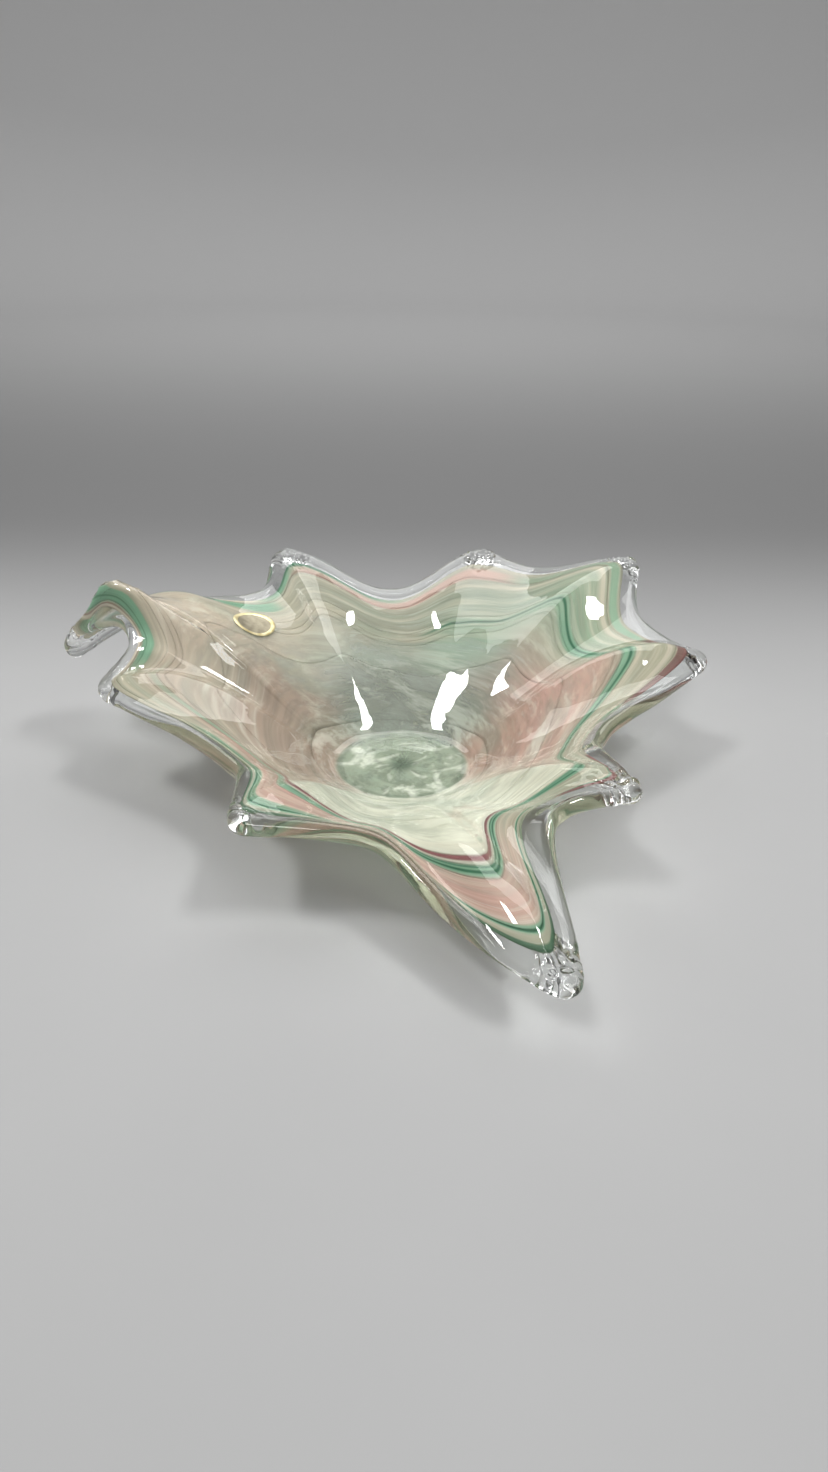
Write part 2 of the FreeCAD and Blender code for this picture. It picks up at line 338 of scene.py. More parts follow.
def smooth_slopes(places, values):
    """Slopes for a smooth curve through values at places (rows by turns), level where it starts."""
    count, turns = places.shape
    gaps = np.diff(places, axis=0)
    rises = np.diff(values, axis=0) / gaps
    matrix = np.zeros((turns, count, count))
    wanted = np.zeros((turns, count, 1))
    matrix[:, 0, 0] = 1
    for k in range(1, count - 1):
        matrix[:, k, k - 1] = 1 / gaps[k - 1]
        matrix[:, k, k] = 2 / gaps[k - 1] + 2 / gaps[k]
        matrix[:, k, k + 1] = 1 / gaps[k]
        wanted[:, k, 0] = 3 * (rises[k - 1] / gaps[k - 1] + rises[k] / gaps[k])
    matrix[:, -1, -2] = 1
    matrix[:, -1, -1] = 2
    wanted[:, -1, 0] = 3 * rises[-1]
    return np.linalg.solve(matrix, wanted)[..., 0].T


class Sheet:
    """The middle surface of the wall at a set of turns: a flat floor, then a smooth curve up to the lip."""

    def __init__(self, turns):
        self.turns = turns
        self.lip_radius, lip_height = ring_at(LIP, turns)
        rings = np.array([ring_at(ring, turns) for ring, _ in BORDERS.values()])
        self.ladder = np.vstack([np.zeros_like(turns), rings[:, 0]])
        used = [list(BORDERS).index(name) for name in WALL_KNOTS]
        self.knots = np.vstack([np.full_like(turns, FLOOR_EDGE), rings[used, 0], self.lip_radius])
        self.heights = np.vstack([np.full_like(turns, FLOOR_MIDDLE), rings[used, 1], lip_height])
        self.slopes = smooth_slopes(self.knots, self.heights)

    def height(self, radii):
        """Heights at radii given as rows by turns."""
        heights = np.full(radii.shape, FLOOR_MIDDLE)
        for k, gap in enumerate(np.diff(self.knots, axis=0)):
            share = (radii - self.knots[k]) / gap
            rise = curve_across(share, gap, self.heights[k:k + 2], self.slopes[k:k + 2])
            heights = np.where(share >= 0, rise, heights)
        return heights

    def points(self, radii):
        """Points of the surface at radii given as rows by turns."""
        return in_space(self.turns, radii, self.height(radii))

    def radius_at(self, share):
        """The radius by turns at a share of the colour's width."""
        below = min(np.searchsorted(BORDER_SHARES, share, side="right"), len(BORDER_SHARES) - 1) - 1
        part = (share - BORDER_SHARES[below]) / (BORDER_SHARES[below + 1] - BORDER_SHARES[below])
        return self.ladder[below] + (self.ladder[below + 1] - self.ladder[below]) * part

    def share_at(self, radii):
        """The share of the colour's width at radii given as rows by turns, 1 beyond its outer border."""
        found = np.zeros(radii.shape)
        for k, gap in enumerate(np.diff(self.ladder, axis=0)):
            part = np.clip((radii - self.ladder[k]) / gap, 0, 1)
            found += part * (BORDER_SHARES[k + 1] - BORDER_SHARES[k])
        return found


def thickness_at(share):
    """Wall thickness at a share of the colour's width: even to the floor swirl's end, then as measured."""
    measured = [thickness for _, thickness in BORDERS.values()]
    return np.interp(share, BORDER_SHARES, [FLOOR_THICKNESS, FLOOR_THICKNESS] + measured[1:])


def normals_of(points):
    """Normals of a grid of points (rows by turns), pointing into the bowl."""
    up = np.gradient(points, axis=0)
    around = np.roll(points, -1, axis=1) - np.roll(points, 1, axis=1)
    normals = np.cross(up, around)
    normals *= np.sign(normals[..., 2:3])
    return normals / np.linalg.norm(normals, axis=-1, keepdims=True)


# Building meshes

def add_to_scene(name, data):
    """A new object in the scene that shows a mesh, or holds a lamp or a camera."""
    added = bpy.data.objects.new(name, data)
    bpy.context.scene.collection.objects.link(added)
    return added


def add_mesh(name, vertices, faces):
    """A smooth-shaded mesh with every face outwards."""
    mesh = bpy.data.meshes.new(name)
    mesh.from_pydata([tuple(vertex) for vertex in vertices], [], faces)
    mesh.update()
    mesh.shade_smooth()
    turned = bmesh.new()
    turned.from_mesh(mesh)
    bmesh.ops.recalc_face_normals(turned, faces=turned.faces)
    turned.to_mesh(mesh)
    turned.free()
    return add_to_scene(name, mesh)


def closed_ring_faces(rows, columns, closes_on_itself):
    """Quads of a grid that is closed round the bowl, and from its last row back to its first if asked."""
    faces = []
    for row in range(rows if closes_on_itself else rows - 1):
        above = (row + 1) % rows
        for column in range(columns):
            beside = (column + 1) % columns
            faces.append((
                row * columns + column,
                row * columns + beside,
                above * columns + beside,
                above * columns + column,
            ))
    return faces


def spun_body(name, grid, pole_start=None, pole_end=None):
    """A mesh from a grid (rows by turns), with its first and last rows closed at a pole point each."""
    rows, columns, _ = grid.shape
    vertices = list(grid.reshape(-1, 3))
    faces = closed_ring_faces(rows, columns, closes_on_itself=pole_start is None)
    for pole, row in ((pole_start, 0), (pole_end, rows - 1)):
        if pole is None:
            continue
        vertices.append(pole)
        centre = len(vertices) - 1
        faces += [(centre, row * columns + (column + 1) % columns, row * columns + column)
                  for column in range(columns)]
    return add_mesh(name, vertices, faces)


def rows_round_axis(profile, columns):
    """Rows of points round the axis, one for each (radius, height) of a profile."""
    turns = np.linspace(0, FULL_TURN, columns, endpoint=False)
    return np.array([in_space(turns, radius, height) for radius, height in profile])


# The clear glass

def wall_shares(rows):
    """Shares from the floor's edge to the lip, crowded towards both."""
    even = np.linspace(0, 1, rows)
    return even - ROW_CROWDING * np.sin(FULL_TURN * even) / FULL_TURN


def nearest_tip(points):
    """Which tip is nearest to each point, how far it is, and the steps in and across from it."""
    gaps = points[..., None, :] - TIP_POINTS
    away = np.linalg.norm(gaps, axis=-1)
    index = away.argmin(axis=-1)
    gap = np.take_along_axis(gaps, index[..., None, None], axis=-2)[..., 0, :]
    turn = TIPS[index]
    inward = -(gap[..., 0] * np.cos(turn) + gap[..., 1] * np.sin(turn))
    across = -gap[..., 0] * np.sin(turn) + gap[..., 1] * np.cos(turn)
    return index, away.min(axis=-1), inward, across


def fade(distance, reach):
    """1 at no distance, easing to 0 at the reach."""
    return smooth_step(np.clip(1 - distance / reach, 0, 1))


# For each tip, whether toothed pincers pulled it. The others only have ripples across them
TOOTHED = np.abs(np.degrees(TIPS)[:, None] - RIPPLED_TIPS).min(axis=1) > TIP_MATCH
noise.seed_set(SLIP_SEED)


def pincer_marks(points):
    """How far the pincers that pulled each tip moved the glass: below 0 where they pressed it in."""
    index, _, inward, across = nearest_tip(points)
    from_patch = np.hypot(inward - PINCER_HOLD, across)
    pressed = fade(np.maximum(from_patch - PINCER_REACH / 2, 0), PINCER_REACH / 2)
    touched = pressed > 0
    slip = np.zeros(points.shape)
    slip[touched] = [noise.noise_vector(Vector(place / PINCER_PITCH)) for place in points[touched]]
    ridges = np.cos(math.pi * (inward + PINCER_SLIP * slip[..., 0]) / PINCER_PITCH) ** 2
    furrows = np.cos(math.pi * (across + PINCER_SLIP * slip[..., 1]) / PINCER_PITCH) ** 2
    ripples = RIPPLE_BASE + (1 - RIPPLE_BASE) * ridges
    teeth = np.where(TOOTHED[index], ridges * furrows, ripples)
    return -PINCER_DEPTH * pressed * (1 - teeth)


def unevenness(points, seed):
    """Slow waves in the glass, as a height at each point."""
    flat = points.reshape(-1, 3) / WAVE_LENGTH
    waves = [noise.noise(Vector(point) + Vector((seed, 0, 0))) for point in flat]
    finer = [noise.noise(Vector(point) * FINER_WAVES + Vector((0, seed, 0))) for point in flat]
    return WAVE_HEIGHT * (np.array(waves) + FINER_HEIGHT * np.array(finer)).reshape(points.shape[:-1])


def glass_face(sheet, rows, side, seed):
    """One face of the glass, from near the axis to the lip, and the lip's middle, normals and radius.

    Side is 1 for the inside face and -1 for the outside.
    """
    floor_radii = [FLOOR_EDGE * step * np.ones_like(sheet.turns) for step in FLOOR_STEPS]
    wall_radii = [FLOOR_EDGE + (sheet.lip_radius - FLOOR_EDGE) * share for share in wall_shares(rows)]
    radii = np.array(floor_radii + wall_radii)
    middle = sheet.points(radii)
    normals = normals_of(middle)
    normals[:len(FLOOR_STEPS)] = (0, 0, 1)
    depth = thickness_at(sheet.share_at(radii))
    border = sheet.ladder[-1]
    to_lip = np.clip((radii - border) / (sheet.lip_radius - border), 0, 1)
    depth = depth + (2 * LIP_RADIUS - depth) * to_lip
    _, away, _, _ = nearest_tip(middle)
    depth = depth * (1 + TIP_SWELL * fade(away, TIP_REACH))
    wave = unevenness(middle, seed) * np.clip(radii / FLOOR_EDGE - 0.5, 0, 1)
    face = middle + normals * (side * (depth / 2 + pincer_marks(middle) + wave))[..., None]
    return face, middle[-1], normals[-1], depth[-1] / 2


def lip_rows(middle, normals, reach):
    """The half-round lip, from the inside face to the outside face."""
    along = np.roll(middle, -1, axis=0) - np.roll(middle, 1, axis=0)
    outward = np.cross(along, normals)
    outward /= np.linalg.norm(outward, axis=-1, keepdims=True)
    marks = pincer_marks(middle)
    rows = []
    for angle in np.linspace(math.pi / 2, -math.pi / 2, LIP_ROWS + 2)[1:-1]:
        radius = (reach + marks * abs(math.sin(angle)))[:, None]
        rows.append(middle + radius * (outward * math.cos(angle) + normals * math.sin(angle)))
    return np.array(rows)


def clear_glass_body():
    """The clear glass of the whole bowl: inside face, lip and outside face as one closed skin."""
    sheet = Sheet(make_turns(COLUMNS))
    inside, middle, normals, reach = glass_face(sheet, INSIDE_ROWS, 1, INSIDE_SEED)
    outside, _, _, _ = glass_face(sheet, OUTSIDE_ROWS, -1, OUTSIDE_SEED)
    grid = np.concatenate([inside, lip_rows(middle, normals, reach), outside[::-1]])
    body = spun_body("clear_glass_body", grid, (0, 0, FLOOR_TOP), (0, 0, CASING_BOTTOM))
    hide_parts("inner_lining", "outer_casing", "rim_band")
    return body


# The coloured trails

def sheet_face(sheet, radii, depth_share):
    """A trail's face at a depth share of the wall, as rows by turns."""
    middle = sheet.points(radii)
    normals = normals_of(middle)
    normals[radii < FLOOR_EDGE] = (0, 0, 1)
    depth = thickness_at(sheet.share_at(radii))
    return middle + normals * (depth * (MIDDLE - depth_share))[..., None]


def following_pleats(turns, share):
    """0 where the streaks run in plain rings, 1 where they follow the pleats, further out at the back."""
    towards_back = 0.5 + 0.5 * np.cos(turns - BACK_TURN)
    low = FRONT_SHARES[0] + (BACK_SHARES[0] - FRONT_SHARES[0]) * towards_back
    high = FRONT_SHARES[1] + (BACK_SHARES[1] - FRONT_SHARES[1]) * towards_back
    return smooth_step(np.clip((share - low) / (high - low), 0, 1))


def give_attribute(piece, name, kind, values):
    """A value or vector of its own for each vertex, for the materials to read."""
    field = "vector" if kind == "FLOAT_VECTOR" else "value"
    attribute = piece.data.attributes.new(name, kind, "POINT")
    attribute.data.foreach_set(field, np.asarray(values, dtype=np.float32).ravel())


def add_flow(piece, sheet, shares, poles):
    """Each vertex's place in the swirl: its wound turn and level, its share, and 1 on the back face."""
    flow_rows = []
    for share in shares:
        wound = sheet.turns + TWIST * (1 - share) ** 2
        ring_level = sheet.radius_at(share) / MEAN_REACH
        level = ring_level + (share - ring_level) * following_pleats(sheet.turns, share)
        flow_rows.append(np.stack([np.cos(wound), np.sin(wound), level], axis=-1))
    face = np.array(flow_rows)
    levels = np.repeat(shares, len(sheet.turns))
    flow = np.concatenate([face.reshape(-1, 3), face[::-1].reshape(-1, 3), np.zeros((poles, 3))])
    give_attribute(piece, "flow", "FLOAT_VECTOR", flow)
    give_attribute(piece, "share", "FLOAT", np.concatenate([levels, levels[::-1], np.zeros(poles)]))
    back = np.concatenate([np.zeros_like(levels), np.ones_like(levels), np.zeros(poles)])
    give_attribute(piece, "back", "FLOAT", back)


def coloured_trail(name, start, end, sheet):
    """A thin closed sheet of coloured glass inside the clear glass."""
    from_floor = start == 0
    first = SHEET_START if from_floor else start
    count = max(4, round((end - first) / SHEET_ROW_STEP) + 1)
    shares = np.linspace(first, end, count)
    radii = np.array([sheet.radius_at(share) for share in shares])
    radii[0] += SHEET_GAP / 2
    radii[-1] -= SHEET_GAP / 2
    depths = (COLOUR_FRONT + SHEET_MARGIN, COLOUR_BACK - SHEET_MARGIN)
    front, back = (sheet_face(sheet, radii, depth) for depth in depths)
    poles = [(0, 0, FLOOR_TOP - FLOOR_THICKNESS * depth) for depth in depths] if from_floor else []
    piece = spun_body(name + "_glass", np.concatenate([front, back[::-1]]), *poles)
    add_flow(piece, sheet, shares, len(poles))
    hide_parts(name)
    return piece


# The foot

FOOT_GAP = 0.05 * MM          # keeps the foot's top clear of the body's underside
FOOT_PROFILE = (              # radius as a share of the foot's, height as a share of its own
    (0.0, 0.30), (0.30, 0.29), (0.52, 0.24), (0.66, 0.14), (0.74, 0.03), (0.77, 0.0), (0.90, 0.0),
    (0.95, 0.02), (0.98, 0.10), (0.996, 0.24), (1.0, 0.42), (1.0, 0.80), (0.99, 0.95), (0.97, 1.0),
    (0.60, 1.0), (0.25, 1.0),
)
FOOT_COLUMNS = 192


def foot_disc():
    """The ground foot: a clear disc whose underside is polished hollow inside a flat ring."""
    top = CASING_BOTTOM - FOOT_GAP
    profile = [(FOOT_RADIUS * radius, top * height) for radius, height in FOOT_PROFILE]
    rows = rows_round_axis(profile[1:], FOOT_COLUMNS)
    piece = spun_body("foot_disc", rows, (0, 0, profile[0][1]), (0, 0, top))
    rounding = piece.modifiers.new("subdivision", "SUBSURF")
    rounding.levels = 1
    rounding.render_levels = 1
    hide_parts("foot")
    return piece


# The foil label

LABEL_COLUMNS = 128
LABEL_CLEARANCE = 15 * MM     # how far over the wall the label is dropped from
LABEL_RISE = 0.04 * MM        # how far the label's back stands off the glass
LABEL_FIELD_RISE = 0.13       # mm over the glass
LABEL_PROFILE = (             # share of the label's half size, mm over the glass
    (0.30, 0.13), (0.60, 0.13), (0.74, 0.13), (0.77, 0.13), (0.80, 0.27), (0.85, 0.36), (0.90, 0.36),
    (0.95, 0.28), (0.975, 0.20), (1.0, 0.16), (1.0, 0.0), (0.9, 0.0), (0.6, 0.0), (0.3, 0.0),
)


def middle_of(values):
    """Halfway between the least and the greatest."""
    return (values.min() + values.max()) / 2


def foil_label(body):
    """The oval foil label, laid on the inside face: a raised border round a blank field."""
    points = np.array([tuple(vertex.co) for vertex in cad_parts["foil_label"].data.vertices])
    centre = points.mean(axis=0)
    long_axis, short_axis, normal = np.linalg.svd(points - centre)[2]
    normal = normal * np.sign(normal[2])
    along = (points - centre) @ long_axis
    across = (points - centre) @ short_axis
    centre = centre + long_axis * middle_of(along) + short_axis * middle_of(across)
    half_long = long_axis * np.ptp(along) / 2
    half_short = short_axis * np.ptp(across) / 2
    glass = BVHTree.FromPolygons(
        [vertex.co for vertex in body.data.vertices], [tuple(face.vertices) for face in body.data.polygons]
    )

    def on_glass(share, turn, rise):
        offset = share * (half_long * math.cos(turn) + half_short * math.sin(turn))
        hit = glass.ray_cast(Vector(centre + offset + normal * LABEL_CLEARANCE), Vector(-normal))
        return np.array(hit[0] + hit[1] * (LABEL_RISE + rise * MM))

    turns = np.linspace(0, FULL_TURN, LABEL_COLUMNS, endpoint=False)
    rows = [[on_glass(share, turn, rise) for turn in turns] for share, rise in LABEL_PROFILE]
    front = on_glass(0, 0, LABEL_PROFILE[0][1])
    back = on_glass(0, 0, LABEL_PROFILE[-1][1])
    piece = spun_body("foil_label_oval", np.array(rows), front, back)
    raised = [float(rise > LABEL_FIELD_RISE) for _, rise in LABEL_PROFILE]
    give_attribute(piece, "border", "FLOAT", np.concatenate([np.repeat(raised, LABEL_COLUMNS), [0.0, 0.0]]))
    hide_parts("foil_label")
    return piece


# Materials

MIX_FIRST, MIX_SECOND, MIX_RESULT = 6, 7, 2   # the sockets for colours among all of a Mix node's


def new_material(name):
    """A material with no nodes yet."""
    made = bpy.data.materials.new(name)
    made.use_nodes = True
    made.node_tree.nodes.clear()
    return made


def node(tree, kind, inputs=None, **settings):
    """A shader node with its settings. An input is a plain value or another node's socket."""
    made = tree.nodes.new("ShaderNode" + kind)
    for key, value in settings.items():
        setattr(made, key, value)
    for key, value in (inputs or {}).items():
        if isinstance(value, bpy.types.NodeSocket):
            tree.links.new(value, made.inputs[key])
        else:
            made.inputs[key].default_value = value
    return made


def colour_of(red, green, blue):
    """A colour as shown on a screen, 0 to 255, as the shader's own linear values."""
    shown = np.array([red, green, blue]) / 255
    linear = np.where(shown <= 0.04045, shown / 12.92, ((shown + 0.055) / 1.055) ** 2.4)
    return (*linear.tolist(), 1.0)


def ramp(tree, factor, stops):
    """A colour ramp through (position, colour) stops."""
    made = node(tree, "ValToRGB", {"Fac": factor})
    elements = made.color_ramp.elements
    while len(elements) < len(stops):
        elements.new(1.0)
    for element, (position, colour) in zip(elements, stops):
        element.position = position
        element.color = colour
    return made.outputs["Color"]


def grey_ramp(tree, factor, *stops):
    """A ramp of greys through (position, grey) stops."""
    return ramp(tree, factor, [(position, (value, value, value, 1)) for position, value in stops])


def maths(tree, operation, first, second):
    """The result of a sum on two numbers."""
    return node(tree, "Math", {0: first, 1: second}, operation=operation).outputs[0]


def vector_maths(tree, operation, *vectors):
    """The result of a sum on vectors: a number for a length or a dot product, otherwise a vector."""
    made = node(tree, "VectorMath", dict(enumerate(vectors)), operation=operation)
    return made.outputs["Value" if operation in ("LENGTH", "DOT_PRODUCT") else "Vector"]


def object_place(tree):
    """Where a point of the surface lies, in metres."""
    return node(tree, "TexCoord").outputs["Object"]


def mottle(tree, place, scale, detail, **more):
    """Noise from 0 to 1. More is any other input of the noise, by its name in lower case."""
    inputs = {"Vector": place, "Scale": scale, "Detail": detail}
    inputs.update((key.capitalize(), value) for key, value in more.items())
    return node(tree, "TexNoise", inputs).outputs["Fac"]


def bumped(tree, height, strength, distance):
    """Normals for a surface roughened by a height."""
    inputs = {"Height": height, "Strength": strength, "Distance": distance}
    return node(tree, "Bump", inputs).outputs["Normal"]


def mix_shader(tree, share, first, second):
    """The first shader, with that share of the second in it."""
    return node(tree, "MixShader", {0: share, 1: first.outputs[0], 2: second.outputs[0]})


def mix_colour(tree, factor, first, second):
    """The first colour, with that share of the second in it."""
    inputs = {0: factor, MIX_FIRST: first, MIX_SECOND: second}
    return node(tree, "Mix", inputs, data_type="RGBA").outputs[MIX_RESULT]


def clear_glass_material(name, tint, deep_tint, haze=0.0):
    """Clear glass with faint green cords and slight smears, as milky as its haze. Lamps shine through."""
    made = new_material(name)
    tree = made.node_tree
    place = object_place(tree)
    cords = mottle(tree, place, 26.0, 3.0, distortion=1.2)
    smears = mottle(tree, place, 70.0, 4.0)
    ripple = mottle(tree, place, 120.0, 1.0)
    glass = node(tree, "BsdfPrincipled", {
        "Base Color": ramp(tree, cords, [(0.35, tint), (0.7, deep_tint)]),
        "Roughness": grey_ramp(tree, smears, (0.45, 0.0), (0.8, 0.035)),
        "IOR": GLASS_IOR,
        "Transmission Weight": 1.0,
        "Normal": bumped(tree, ripple, 0.25, 0.4 * MM),
    })
    through = node(tree, "BsdfTransparent", {"Color": tint})
    lamps = node(tree, "LightPath").outputs["Is Shadow Ray"]
    surface = mix_shader(tree, lamps, glass, through)
    if haze:
        milk = node(tree, "BsdfTranslucent", {"Color": OUTSIDE_MILK})
        surface = mix_shader(tree, haze, surface, milk)
    node(tree, "OutputMaterial", {"Surface": surface.outputs[0]})
    return made


def eased(tree, value, low, high):
    """0 where the value is at low, easing to 1 at high."""
    made = node(tree, "MapRange", {"Value": value, "From Min": low, "From Max": high},
                interpolation_type="SMOOTHSTEP")
    return made.outputs["Result"]


def opposite(tree, amount):
    """1 where an amount is 0, and 0 where it is 1."""
    return maths(tree, "SUBTRACT", 1.0, amount)


def product(tree, *amounts):
    """All the amounts multiplied together."""
    whole = amounts[0]
    for amount in amounts[1:]:
        whole = maths(tree, "MULTIPLY", whole, amount)
    return whole


class Flow:
    """What every trail's material starts from: a point's place in the swirl, and streaks drawn along it."""

    def __init__(self, tree):
        self.tree = tree
        self.place = object_place(tree)
        self.back = self.attribute("back", "Fac")
        sway = node(tree, "SeparateXYZ", {0: self.cloud(11.0, (0.026, 0.0, 0.0))}).outputs["X"]
        self.share = maths(tree, "ADD", self.attribute("share", "Fac"), sway)
        flow = self.attribute("flow", "Vector")
        self.flow = vector_maths(tree, "ADD", flow, self.cloud(9.0, (0.2, 0.2, 0.03)))
        flat = vector_maths(tree, "MULTIPLY", self.place, (1, 1, 0))
        self.radius = vector_maths(tree, "LENGTH", flat)
        direction = vector_maths(tree, "NORMALIZE", flat)
        self.direction = vector_maths(tree, "ADD", direction, self.cloud(14.0, (0.3, 0.3, 0.0)))
        self.broad = self.streaks((1.1, 1.1, 7.0), 2.0, 0.5)
        self.bands = self.streaks((1.4, 1.4, 20.0), 3.0, 0.55)
        self.wisps = self.streaks((2.6, 2.6, 15.0), 5.0, 0.68)
        self.brushed = self.streaks((3.4, 3.4, 44.0), 4.0, 0.7)

    def attribute(self, name, output):
        """One of the values that each vertex carries."""
        return node(self.tree, "Attribute", attribute_name=name).outputs[output]

    def cloud(self, scale, reach):
        """A small slow push to and fro, so that no border runs ruler-straight."""
        inputs = {"Vector": self.place, "Scale": scale, "Detail": 2.0}
        colour = node(self.tree, "TexNoise", inputs).outputs["Color"]
        centred = vector_maths(self.tree, "SUBTRACT", colour, (0.5, 0.5, 0.5))
        return vector_maths(self.tree, "MULTIPLY", centred, reach)

    def streaks(self, stretch, detail, roughness):
        """Streaks along the swirl. The stretch is how closely they lie round the bowl and up its wall."""
        drawn = vector_maths(self.tree, "MULTIPLY", self.flow, stretch)
        return mottle(self.tree, drawn, 1.0, detail, roughness=roughness)

    def above(self, value, low, high):
        """1 where the value is over high, easing to 0 at low."""
        return eased(self.tree, value, low, high)

    def below(self, value, low, high):
        """1 where the value is under low, easing to 0 at high."""
        return opposite(self.tree, eased(self.tree, value, low, high))

    def facing(self, azimuth, full, gone):
        """1 within that many degrees of an azimuth, easing to 0 where it is gone."""
        turn = math.radians(azimuth)
        towards = (math.cos(turn), math.sin(turn), 0)
        alike = vector_maths(self.tree, "DOT_PRODUCT", self.direction, towards)
        return eased(self.tree, alike, math.cos(math.radians(gone)), math.cos(math.radians(full)))

    def over(self, colour, layer, *amounts):
        """The layer's colour over another, as strong as all its amounts together."""
        return mix_colour(self.tree, product(self.tree, *amounts), colour, layer)

    def painted(self, colour, patch):
        """A patch of the swirl over a colour: its own stretch of shares, on its own side of the bowl."""
        rising = self.above(self.share, patch.start - patch.soft, patch.start + patch.soft)
        falling = self.below(self.share, patch.end - patch.soft, patch.end + patch.soft)
        side = self.facing(patch.azimuth, patch.full, patch.gone)
        return self.over(colour, patch.colour, rising, falling, side, patch.strength)


# Colours of the glass, as they look on a screen
GREY_GREEN = colour_of(148, 152, 140)
PINK_BEIGE = colour_of(190, 164, 148)
LEFT_BEIGE = colour_of(182, 166, 150)
MILKY = colour_of(232, 232, 218)
WHITE = colour_of(238, 240, 228)
GREY_BEIGE = colour_of(178, 174, 154)
CREAM = colour_of(222, 212, 196)
SAGE = colour_of(164, 176, 160)
DUSTY_PINK = colour_of(206, 168, 158)
MINT = colour_of(128, 176, 148)
DARK_GREEN = colour_of(34, 100, 70)
CRANBERRY = colour_of(130, 54, 66)
FLOOR_GREEN = colour_of(168, 177, 158)
FLOOR_DARK = colour_of(78, 98, 80)
OUTSIDE_MILK = colour_of(208, 212, 190)
GLASS_IOR = 1.5
BODY_TINTS = ((0.985, 0.992, 0.988, 1), (0.955, 0.980, 0.965, 1))
FOOT_TINTS = ((0.970, 0.988, 0.975, 1), (0.920, 0.965, 0.940, 1))
THIN_TINT = (0.95, 0.98, 0.96, 1)     # of glass seen where a trail's colour is thin
FOOT_HAZE = 0.45
GLOW_SHARE = 0.45             # how much of the milky glass's light comes from behind it
BACK_MILK = 0.62              # how strongly the outside milk covers the swirl on the wall's back face

# A patch of the swirl: the shares it starts and ends at and how softly, its colour, and the azimuth it is
# centred on, with the degrees each way where it is whole and where it is gone
Patch = namedtuple("Patch", "start end soft colour azimuth full gone strength")
PATCH_SLACK = 0.04            # how far past its own shares a patch can still show

# Broad patches of one colour under the streaks. The cream one under the label is a painted sheen
WASHES = [
    Patch(-1.0, 0.62, 0.10, GREY_GREEN, 90, 35, 75, 0.95),
    Patch(-1.0, 0.66, 0.05, MILKY, 277, 25, 72, 0.95),
    Patch(0.46, 0.90, 0.10, MINT, 50, 10, 34, 0.55),
    Patch(0.30, 0.60, 0.10, DUSTY_PINK, 12, 15, 50, 0.55),
    Patch(-1.0, 0.80, 0.10, LEFT_BEIGE, 185, 30, 62, 0.80),
    # Painted sheen: this pale cream wash under the label stands in for glare on the glass there, not colour
    # in the swirl
    Patch(0.35, 0.82, 0.10, CREAM, 140, 18, 42, 0.50),
    Patch(0.70, 0.95, 0.02, DUSTY_PINK, 246, 38, 60, 0.85),
    Patch(0.72, 1.10, 0.05, GREY_GREEN, 82, 20, 50, 0.60),
]

# Thin lines of one colour on top of the washes and streaks
LINES = [
    Patch(0.62, 0.645, 0.006, CRANBERRY, 262, 32, 52, 0.90),
    Patch(0.64, 0.655, 0.005, CRANBERRY, 350, 18, 40, 0.45),
    Patch(0.66, 0.715, 0.010, MINT, 275, 35, 60, 0.85),
    Patch(0.65, 0.715, 0.012, MINT, 352, 40, 65, 0.80),
    Patch(0.685, 0.700, 0.005, DARK_GREEN, 350, 82, 96, 0.92),
    Patch(0.665, 0.675, 0.004, DARK_GREEN, 275, 30, 50, 0.75),
    Patch(0.66, 0.70, 0.010, MINT, 215, 20, 40, 0.60),
    Patch(0.84, 0.95, 0.012, MINT, 155, 17, 26, 0.90),
    Patch(0.905, 0.915, 0.004, DARK_GREEN, 158, 15, 26, 0.50),
    Patch(0.975, 1.10, 0.006, CREAM, 155, 20, 32, 0.95),
    Patch(0.963, 0.972, 0.003, CRANBERRY, 165, 14, 24, 0.45),
    Patch(0.895, 0.965, 0.010, MINT, 226, 22, 36, 0.85),
    Patch(0.935, 0.960, 0.006, MINT, 276, 40, 60, 0.85),
    Patch(0.946, 0.956, 0.003, DARK_GREEN, 258, 52, 72, 0.85),
    Patch(0.915, 0.922, 0.003, DARK_GREEN, 232, 16, 26, 0.60),
    Patch(0.984, 1.10, 0.004, DARK_GREEN, 255, 52, 72, 0.80),
    Patch(0.985, 1.10, 0.004, GREY_BEIGE, 345, 40, 55, 0.70),
    Patch(0.965, 1.10, 0.008, MINT, 112, 12, 25, 0.85),
    Patch(0.985, 1.10, 0.004, DARK_GREEN, 112, 10, 22, 0.80),
    Patch(0.945, 0.985, 0.008, DUSTY_PINK, 88, 15, 32, 0.75),
    Patch(0.90, 0.93, 0.008, CREAM, 30, 18, 40, 0.70),
    Patch(0.955, 0.985, 0.006, MINT, 20, 20, 45, 0.70),
    Patch(0.955, 1.10, 0.006, CRANBERRY, 12, 5, 12, 0.75),
    Patch(0.955, 1.10, 0.006, CRANBERRY, 322, 4, 10, 0.75),
]


# The radii between which each of the floor's marks eases in or out
FLOOR_SPOT = (2.0 * MM, 10.0 * MM)
FLOOR_RING_INNER = (29.5 * MM, 31.5 * MM)
FLOOR_RING_OUTER = (32.5 * MM, 34.5 * MM)
FLOOR_BORDER = (32.0 * MM, 35.5 * MM)


